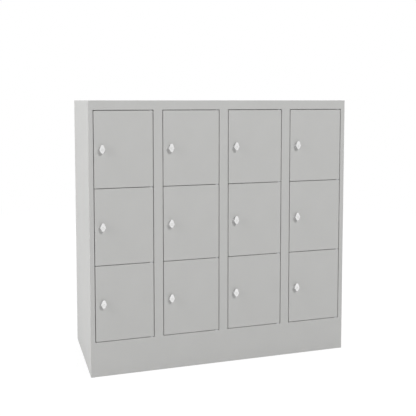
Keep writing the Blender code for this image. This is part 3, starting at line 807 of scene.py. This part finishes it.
def section_of_head(reach, back, rim, heel):
    """Insets and heights up the knob's flank: a small heel radius, the undercut, the rim and the dish."""
    latch = settings("latch")
    flank = [(latch.undercut + heel - x, back + heel + y) for x, y in arc(0, 0, heel, -90, 0)]
    top = [(rim - x, reach - rim + y) for x, y in arc(0, 0, rim, 0, 90, 2 * BEND_STEPS)]
    last, dish = top[-1][0], latch.dish
    return flank + top + [(last + dish / 2, reach - dish / 4), (last + dish, reach - dish)]


def core_mesh():
    """The lock core in the knob, with its key slot."""
    latch = settings("latch")
    reach = KNOB_REACH
    floor = reach - latch.dish
    face = floor + latch.dish / 2
    edge = latch.dish / 2
    radius = latch.core_radius
    ring = radius * CORE_RING_SHARE
    profile = [(0, face - edge), (ring - edge, face - edge), (ring, face)]
    profile += arc(radius - edge, face - edge, edge, 90, 0)
    profile += [(radius, floor - latch.rim + HAIRLINE), (0, floor - latch.rim + HAIRLINE)]
    obj = helper("lock_core", turned("core", profile))
    slot = latch.keyhole * KEY_SLOT_SHARE
    tip = latch.keyhole / 2 - slot
    depth = (floor - latch.rim / 2, reach + OVERRUN)
    key_slot = plate("key_slot", round_hull([(0, -tip, slot), (0, tip, slot)]), *depth)
    key_pin = cylinder(2 * slot, 0, tip / 2, *depth)
    return faced_front(cut(obj, [key_slot, key_pin]))


def cam_mesh():
    """A flat cam that hangs from the latch axis, with a square hole and broken edges."""
    latch = settings("latch")
    half_width = (CAM_HIGH.x - CAM_LOW.x) / 2
    tip_radius = half_width * CAM_TIP_SHARE
    tip_x = half_width - tip_radius
    tip_y = CAM_LOW.z - LATCH.z + tip_radius
    circles = [(-tip_x, tip_y, tip_radius), (tip_x, tip_y, tip_radius), (0, 0, half_width)]
    back, front = CAM_BACK, CAM_FRONT
    edge = (front - back) * CAM_EDGE_SHARE
    levels = []
    for inset, height in ((edge, back), (0, back + edge), (0, front - edge), (edge, front)):
        outline = round_hull([(x, y, radius - inset) for x, y, radius in circles])
        levels.append([(x, y, height) for x, y in outline])
    obj = helper("latch_cam", stacked("latch_cam", levels))
    half = latch.drive / 2 + RUNNING_CLEARANCE
    square = box((-half, -half, back - OVERRUN), (half, half, front + OVERRUN))
    return faced_front(cut(obj, [square]))


def fixing_mesh():
    """The riveted end of the spindle that holds the cam, with a collar under its rounded head."""
    top = CAM_BACK - HAIRLINE
    bottom = FRONT - KNOB_HIGH.y
    radius = (top - bottom) * RIVET_RADIUS_SHARE
    seat = top - (top - bottom) * RIVET_COLLAR_SHARE
    wide, deep = radius * RIVET_CROWN_SHARE, seat - bottom
    profile = [(0, top), (radius, top), (radius, seat), (wide, seat)]
    profile += [(wide * math.cos(turn), seat - deep * math.sin(turn)) for turn in RIVET_CROWN_TURNS]
    profile += [(0, bottom)]
    return faced_front(turned("cam_fixing", profile))


def plug(tree, node, inputs):
    """Gives a node's inputs their values, or links them where these come from other nodes."""
    for name, value in inputs.items():
        if isinstance(value, bpy.types.NodeSocket):
            tree.links.new(value, node.inputs[name])
        else:
            node.inputs[name].default_value = value


def add_node(tree, kind, inputs, output, **options):
    """Adds a node with its inputs and options, and gives one of its outputs."""
    node = tree.nodes.new(kind)
    for name, value in options.items():
        setattr(node, name, value)
    plug(tree, node, inputs)
    return node.outputs[output]


def noise(tree, size, detail):
    """A noise in the piece's own coordinates, in metres, whose grains have about this size."""
    place = add_node(tree, "ShaderNodeTexCoord", {}, "Object")
    return add_node(tree, "ShaderNodeTexNoise", {"Vector": place, "Scale": 1 / size, "Detail": detail}, "Fac")


def ranged(tree, value, source, target, **options):
    """Carries a value over from one range to another."""
    inputs = {"Value": value}
    inputs["From Min"], inputs["From Max"] = source
    inputs["To Min"], inputs["To Max"] = target
    return add_node(tree, "ShaderNodeMapRange", inputs, "Result", **options)


def tinted(tree, value, base, change):
    """A colour that wavers round its base by a small share, along a noise."""
    node = tree.nodes.new("ShaderNodeValToRGB")
    for element, position, gain in zip(node.color_ramp.elements, NOISE_MIDDLE, (1 - change, 1 + change)):
        element.position = position
        element.color = (*[channel * gain for channel in base], 1)
    plug(tree, node, {"Fac": value})
    return node.outputs["Color"]


def new_material(name):
    """A material with its node tree, which holds its output and a Principled BSDF."""
    material = bpy.data.materials.new(name)
    material.use_nodes = True
    return material, material.node_tree


def textured(name, tone, roughness, textures, inputs):
    """A material whose colour, gloss and relief each follow a noise of a size, a detail and an amount."""
    material, tree = new_material(name)
    clouds, shine, grain = [noise(tree, size, detail) for size, detail, amount in textures]
    change, gloss, height = [amount for size, detail, amount in textures]
    bump = {"Height": grain, "Strength": 1, "Distance": height}
    surface = {
        "Base Color": tinted(tree, clouds, tone, change),
        "Roughness": ranged(tree, shine, NOISE_MIDDLE, [roughness * gain for gain in gloss]),
        "Normal": add_node(tree, "ShaderNodeBump", bump, "Normal"),
    }
    plug(tree, tree.nodes["Principled BSDF"], surface | inputs)
    return material


def material_of(finish):
    """The material of a finish, made when it is first asked for."""
    name = f"finish_{finish}"
    if name in bpy.data.materials:
        return bpy.data.materials[name]
    looks = settings("finish")
    grain = (looks.paint_grain, PAINT_DETAIL)
    orange_peel = (PAINT_CLOUDS, (*grain, PAINT_GLOSS), (*grain, looks.paint_relief))
    powder_coat = (looks.paint, looks.paint_roughness, orange_peel, {"Specular IOR Level": PAINT_SPECULAR})
    metal = {"Metallic": 1}
    surfaces = {
        "carcass_paint": powder_coat,
        "door_paint": powder_coat,
        "knob_chrome": (looks.chrome, looks.chrome_roughness, SATIN_TEXTURES, metal),
        "lock_nickel": (looks.nickel, looks.nickel_roughness, SATIN_TEXTURES, metal),
        "plated_steel": (looks.zinc, looks.zinc_roughness, ZINC_TEXTURES, metal),
    }
    return textured(name, *surfaces[finish])


def dressed(mesh, finish="carcass_paint"):
    """A mesh with its finish, shaded smooth over its bends, with every flat face kept flat."""
    mesh.shade_smooth()
    mesh.set_sharp_from_angle(angle=SMOOTH_ANGLE)
    obj = helper(mesh.name, mesh)
    modify(obj, "WEIGHTED_NORMAL", keep_sharp=True, weight=FLAT_FACE_WEIGHT)
    mesh = baked(obj)
    mesh.materials.clear()
    mesh.materials.append(material_of(finish))
    return mesh


def add_piece(name, mesh, body, nodes, place=(0, 0, 0)):
    """Puts a piece in its place on a body, to stand for these nodes."""
    obj = new_object(name, mesh)
    obj.location = place
    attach(obj, body)
    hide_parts(*nodes)
    return obj


def add_fixed(name, mesh, node, place=(0, 0, 0)):
    """Adds a piece of the fixed body."""
    add_piece(name, mesh, "carcass", [node], place)


def add_to_cells(joint, body, *pieces):
    """Adds pieces at a joint of each compartment. A piece is a name, a mesh, a slot, which is not used, and a
    kind of node.
    """
    for cell in [cell_name(*cell) for cell in CELLS]:
        for name, mesh, slot, node in pieces:
            place = PLACES[f"{joint}_{cell}"]
            add_piece(f"{name}_{cell}", mesh, f"{body}_{cell}", [f"{node}_{cell}"], place)


class CABINET_OT_sides(bpy.types.Operator):
    """Builds both side panels with their stiles."""

    bl_idname = "cabinet.sides"
    bl_label = "Side panels"

    def execute(self, context):
        left = side_mesh()
        right = mirrored(left, "side_panel_right")
        add_fixed("side_left", dressed(left), "left_side_panel")
        add_fixed("side_right", dressed(right), "right_side_panel")
        return {"FINISHED"}


class CABINET_OT_shell(bpy.types.Operator):
    """Builds the roof with its rail, the plinth, the back and the floor."""

    bl_idname = "cabinet.shell"
    bl_label = "Roof, plinth, back and floor"

    def execute(self, context):
        flange = FLOOR_HIGH.z - FLOOR_LOW.z
        floor = baked(tray("floor_panel", FLOOR_LOW, FLOOR_HIGH, flange, flange))
        add_fixed("roof", dressed(roof_mesh()), "top_panel")
        add_fixed("plinth", dressed(plinth_mesh()), "plinth_front")
        add_fixed("back", dressed(back_mesh()), "back_panel")
        add_fixed("floor", dressed(floor), "floor_panel")
        return {"FINISHED"}


class CABINET_OT_uprights(bpy.types.Operator):
    """Builds the uprights between the columns and the walls behind them."""

    bl_idname = "cabinet.uprights"
    bl_label = "Uprights and walls"

    def execute(self, context):
        upright = dressed(upright_mesh())
        wall = dressed(wall_mesh())
        for number, centre in enumerate(UPRIGHTS, 1):
            add_fixed(f"upright_{number}", upright, f"mullion_{number}", (centre, FRONT, 0))
            add_fixed(f"wall_{number}", wall, f"partition_{number}", (centre, 0, 0))
        return {"FINISHED"}


class CABINET_OT_shelves(bpy.types.Operator):
    """Builds the shelves."""

    bl_idname = "cabinet.shelves"
    bl_label = "Shelves"

    def execute(self, context):
        for column in range(COLUMNS):
            mesh = dressed(shelf_mesh(column))
            for row in range(ROWS - 1):
                cell = cell_name(column, row)
                add_fixed(f"compartment_floor_{cell}", mesh, f"shelf_{cell}", (0, 0, under_door(cell)))
        return {"FINISHED"}


class CABINET_OT_hinge_lugs(bpy.types.Operator):
    """Builds the lugs that hold the hinge rods, in the gap under each door."""

    bl_idname = "cabinet.hinge_lugs"
    bl_label = "Hinge lugs"

    def execute(self, context):
        sheet = settings("sheet")
        half = DOOR_GAP / 2 - sheet.lug_room
        on_shelf = dressed(lug_mesh(shelf_front() + sheet.lug_weld, -half, half), "plated_steel")
        sill_lug = lug_mesh(HINGE.y + sheet.lug_width / 2, -sheet.gauge / 2, DOOR_GAP - sheet.lug_room)
        on_sill = dressed(sill_lug, "plated_steel")
        for column, row in CELLS:
            cell = cell_name(column, row)
            mesh, node, level = on_shelf, f"shelf_{cell}", under_door(cell)
            if row == ROWS - 1:
                mesh, node, level = on_sill, "plinth_front", OPENING_BOTTOM
            add_fixed(f"hinge_lug_{cell}", mesh, node, (HINGES[column], 0, level))
        return {"FINISHED"}


class CABINET_OT_hinge_rods(bpy.types.Operator):
    """Builds the hinge rod of each column."""

    bl_idname = "cabinet.hinge_rods"
    bl_label = "Hinge rods"

    def execute(self, context):
        mesh = dressed(rod_mesh(), "plated_steel")
        for number, x in enumerate(HINGES, 1):
            add_fixed(f"rod_{number}", mesh, f"hinge_rod_{number}", (x, HINGE.y, 0))
        return {"FINISHED"}


class CABINET_OT_doors(bpy.types.Operator):
    """Builds the doors."""

    bl_idname = "cabinet.doors"
    bl_label = "Doors"

    def execute(self, context):
        door = dressed(door_mesh(), "door_paint")
        add_to_cells("door_hinge", "leaf", ("door_pan", door, "door_paint", "door"))
        return {"FINISHED"}


class CABINET_OT_bushes(bpy.types.Operator):
    """Builds the latch bush and its nut in each door."""

    bl_idname = "cabinet.bushes"
    bl_label = "Latch bushes"

    def execute(self, context):
        bush = ("latch_bush", dressed(bush_mesh(), "knob_chrome"), "knob_chrome", "door")
        nut = ("latch_nut", dressed(nut_mesh(), "plated_steel"), "plated_steel", "door")
        add_to_cells("latch_turn", "leaf", bush, nut)
        return {"FINISHED"}


class CABINET_OT_knobs(bpy.types.Operator):
    """Builds the turn knobs with their lock cores."""

    bl_idname = "cabinet.knobs"
    bl_label = "Turn knobs"

    def execute(self, context):
        knob = ("turn_knob", dressed(knob_mesh(), "knob_chrome"), "knob_chrome", "latch_knob")
        core = ("lock_core", dressed(core_mesh(), "lock_nickel"), "knob_chrome", "latch_knob")
        add_to_cells("latch_turn", "latch", knob, core)
        return {"FINISHED"}


class CABINET_OT_cams(bpy.types.Operator):
    """Builds the latch cams and the riveted ends that hold them on their spindles."""

    bl_idname = "cabinet.cams"
    bl_label = "Latch cams"

    def execute(self, context):
        cam = ("cam", dressed(cam_mesh(), "plated_steel"), "plated_steel", "latch_cam")
        fixing = ("cam_fixing", dressed(fixing_mesh(), "plated_steel"), "plated_steel", "latch_knob")
        add_to_cells("latch_turn", "latch", cam, fixing)
        return {"FINISHED"}


def seen_directly(tree):
    """1 for what the camera sees, directly, in a reflection or through glass, and otherwise 0."""
    path = tree.nodes.new("ShaderNodeLightPath").outputs
    total = path["Is Camera Ray"]
    for ray in ("Is Glossy Ray", "Is Transmission Ray"):
        inputs = {0: total, 1: path[ray]}
        total = add_node(tree, "ShaderNodeMath", inputs, "Value", operation="ADD", use_clamp=True)
    return total


def set_up_world(studio):
    """Even light from all round, which shows as plain white behind the cabinet."""
    world = bpy.data.worlds.new("studio_world")
    bpy.context.scene.world = world
    world.use_nodes = True
    tree = world.node_tree
    strength = ranged(tree, seen_directly(tree), (0, 1), (studio.ambient, 1))
    plug(tree, tree.nodes["Background"], {"Color": (1, 1, 1, 1), "Strength": strength})


def floor_material(studio):
    """Pale floor: mostly plain white to the camera, with the cabinet's soft shadow kept."""
    material, tree = new_material("studio_floor")
    shader = tree.nodes["Principled BSDF"]
    surface = {"Base Color": (*studio.floor, 1), "Roughness": FLOOR_ROUGHNESS, "Specular IOR Level": 0}
    plug(tree, shader, surface)
    place = add_node(tree, "ShaderNodeTexCoord", {}, "Object")
    distance = add_node(tree, "ShaderNodeVectorMath", {0: place}, "Value", operation="LENGTH")
    outer = (studio.floor_near, studio.floor_far)
    strength, white = [
        ranged(tree, distance, outer, (near, 1), interpolation_type="SMOOTHSTEP")
        for near in (NEAR_GLOW, studio.floor_glow)
    ]
    glow = add_node(tree, "ShaderNodeEmission", {"Strength": strength}, "Emission")
    seen = {0: seen_directly(tree), 1: white}
    amount = add_node(tree, "ShaderNodeMath", seen, "Value", operation="MULTIPLY")
    layers = {"Fac": amount, 1: shader.outputs["BSDF"], 2: glow}
    mixed = add_node(tree, "ShaderNodeMixShader", layers, "Shader")
    plug(tree, tree.nodes["Material Output"], {"Surface": mixed})
    return material


def add_floor(studio):
    """A wide round floor just under the cabinet."""
    bm = bmesh.new()
    bmesh.ops.create_circle(bm, cap_ends=True, segments=ROUND_SIDES, radius=FLOOR_RADIUS)
    bmesh.ops.translate(bm, vec=(0, 0, -HAIRLINE), verts=bm.verts)
    floor = new_object("studio_floor", mesh_of("studio_floor", bm))
    floor.data.materials.append(floor_material(studio))


def add_lamp(name, place, size, watts):
    """A square area lamp that faces the middle of the cabinet."""
    lamp = bpy.data.lights.new(name, "AREA")
    lamp.shape = "SQUARE"
    lamp.size = size
    lamp.energy = watts
    obj = new_object(name, lamp)
    obj.location = place
    ahead = Vector((0, 0, HEIGHT / 2)) - Vector(place)
    obj.rotation_euler = ahead.to_track_quat("-Z", "Y").to_euler()
    obj.visible_camera = False
    obj.visible_glossy = False


def add_camera():
    """The photograph's camera: its place, its turn, its lens and its vertical shift."""
    camera = bpy.data.cameras.new("photo_camera")
    camera.lens = CAMERA_LENS
    camera.sensor_width = CAMERA_SENSOR
    camera.shift_y = CAMERA_SHIFT
    obj = new_object("photo_camera", camera)
    obj.location = CAMERA_PLACE
    obj.rotation_euler = (math.pi / 2 + CAMERA_PITCH, 0, CAMERA_TURN)
    bpy.context.scene.camera = obj


class CABINET_OT_studio(bpy.types.Operator):
    """Sets up the floor, the even light, four soft lamps and the photograph's camera."""

    bl_idname = "cabinet.studio"
    bl_label = "Studio"

    def execute(self, context):
        studio = settings("studio")
        context.scene.view_settings.view_transform = "Standard"
        set_up_world(studio)
        add_floor(studio)
        for name, (place, size) in LAMPS.items():
            add_lamp(name, place, size, getattr(studio, name))
        add_camera()
        return {"FINISHED"}


OPERATORS = (
    CABINET_OT_sides,
    CABINET_OT_shell,
    CABINET_OT_uprights,
    CABINET_OT_shelves,
    CABINET_OT_hinge_lugs,
    CABINET_OT_hinge_rods,
    CABINET_OT_doors,
    CABINET_OT_bushes,
    CABINET_OT_knobs,
    CABINET_OT_cams,
    CABINET_OT_studio,
)

SETTINGS = {
    "cabinet_sheet": CabinetSheetSettings,
    "cabinet_door": CabinetDoorSettings,
    "cabinet_latch": CabinetLatchSettings,
    "cabinet_finish": CabinetFinishSettings,
    "cabinet_studio": CabinetStudioSettings,
}


class CABINET_PT_pieces(bpy.types.Panel):
    """Lists the cabinet's pieces and their sizes and colours."""

    bl_idname = "CABINET_PT_pieces"
    bl_label = "Compartment Cabinet"
    bl_space_type = "VIEW_3D"
    bl_region_type = "UI"
    bl_category = "Cabinet"

    def draw(self, context):
        for name, group in SETTINGS.items():
            column = self.layout.box().column()
            column.label(text=group.__doc__)
            for value in group.__annotations__:
                column.prop(getattr(context.scene, name), value)
        column = self.layout.column()
        for operator in OPERATORS:
            column.operator(operator.bl_idname)


def register():
    """Registers the settings, the operators and the panel."""
    for group in SETTINGS.values():
        bpy.utils.register_class(group)
    for name, group in SETTINGS.items():
        setattr(bpy.types.Scene, name, bpy.props.PointerProperty(type=group))
    for operator in OPERATORS:
        bpy.utils.register_class(operator)
    bpy.utils.register_class(CABINET_PT_pieces)


def unregister():
    """Takes back what register did."""
    bpy.utils.unregister_class(CABINET_PT_pieces)
    for operator in reversed(OPERATORS):
        bpy.utils.unregister_class(operator)
    for name, group in SETTINGS.items():
        delattr(bpy.types.Scene, name)
        bpy.utils.unregister_class(group)


def main():
    """Builds everything in order and keeps the sizes."""
    register()
    for operator in OPERATORS:
        group, name = operator.bl_idname.split(".")
        getattr(getattr(bpy.ops, group), name)()


if __name__ == "__main__":
    main()
